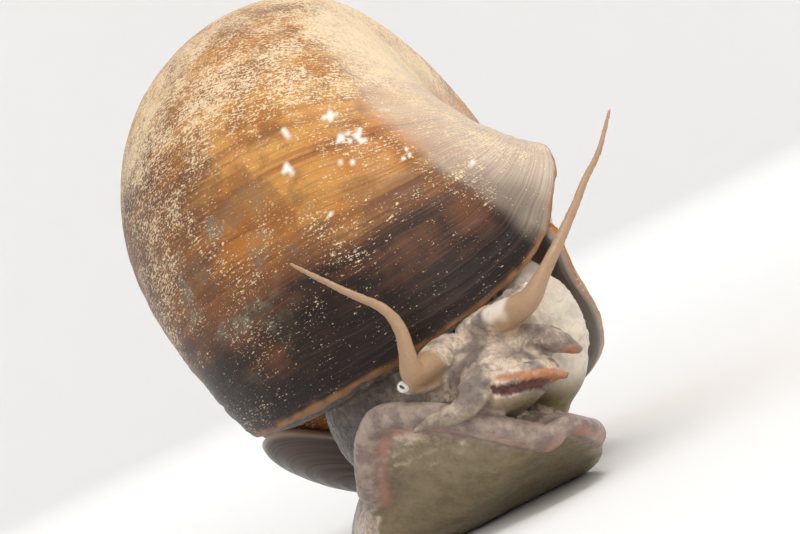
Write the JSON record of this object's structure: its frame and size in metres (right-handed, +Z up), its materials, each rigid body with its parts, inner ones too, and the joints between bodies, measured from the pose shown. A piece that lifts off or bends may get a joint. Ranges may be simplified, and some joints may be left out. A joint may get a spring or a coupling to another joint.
{
  "type": "apple snail model",
  "caption": "Life-size apple snail creeping on its broad foot, with a globose coiled shell, long tentacles, labial palps, siphon lobe and operculum.",
  "frame": {"origin": "centre of the flat sole's resting face, below the middle of the foot", "axes": "+Z up from the floor; the animal heads towards -Y; its right side is at -X"},
  "size_m": [0.0511, 0.072, 0.0596],
  "materials": {
    "shell": "satin shell with growth lines",
    "operculum": "horny, slightly glossy",
    "mantle_skin": "moist skin",
    "skin": "moist, finely wrinkled skin",
    "foot_skin": "moist, finely wrinkled skin",
    "lobe_skin": "moist skin",
    "tentacle_skin": "moist skin",
    "eye": "glossy"
  },
  "bodies": {
    "root": {"shell": "shell", "operculum": "operculum", "mantle": "mantle_skin", "neck": "skin", "head": "skin", "snout": "skin", "foot_front": "foot_skin", "foot_middle": "foot_skin", "foot_tail": "foot_skin", "siphon_lobe": "lobe_skin", "palp_right": "skin", "palp_left": "skin", "tentacle_right_base": "tentacle_skin", "tentacle_right_middle": "tentacle_skin", "tentacle_right_tip": "tentacle_skin", "eyestalk_right": "skin", "eye_right": "eye", "tentacle_left_base": "tentacle_skin", "tentacle_left_middle": "tentacle_skin", "tentacle_left_tip": "tentacle_skin", "eyestalk_left": "skin", "eye_left": "eye"}
  },
  "joints": []
}
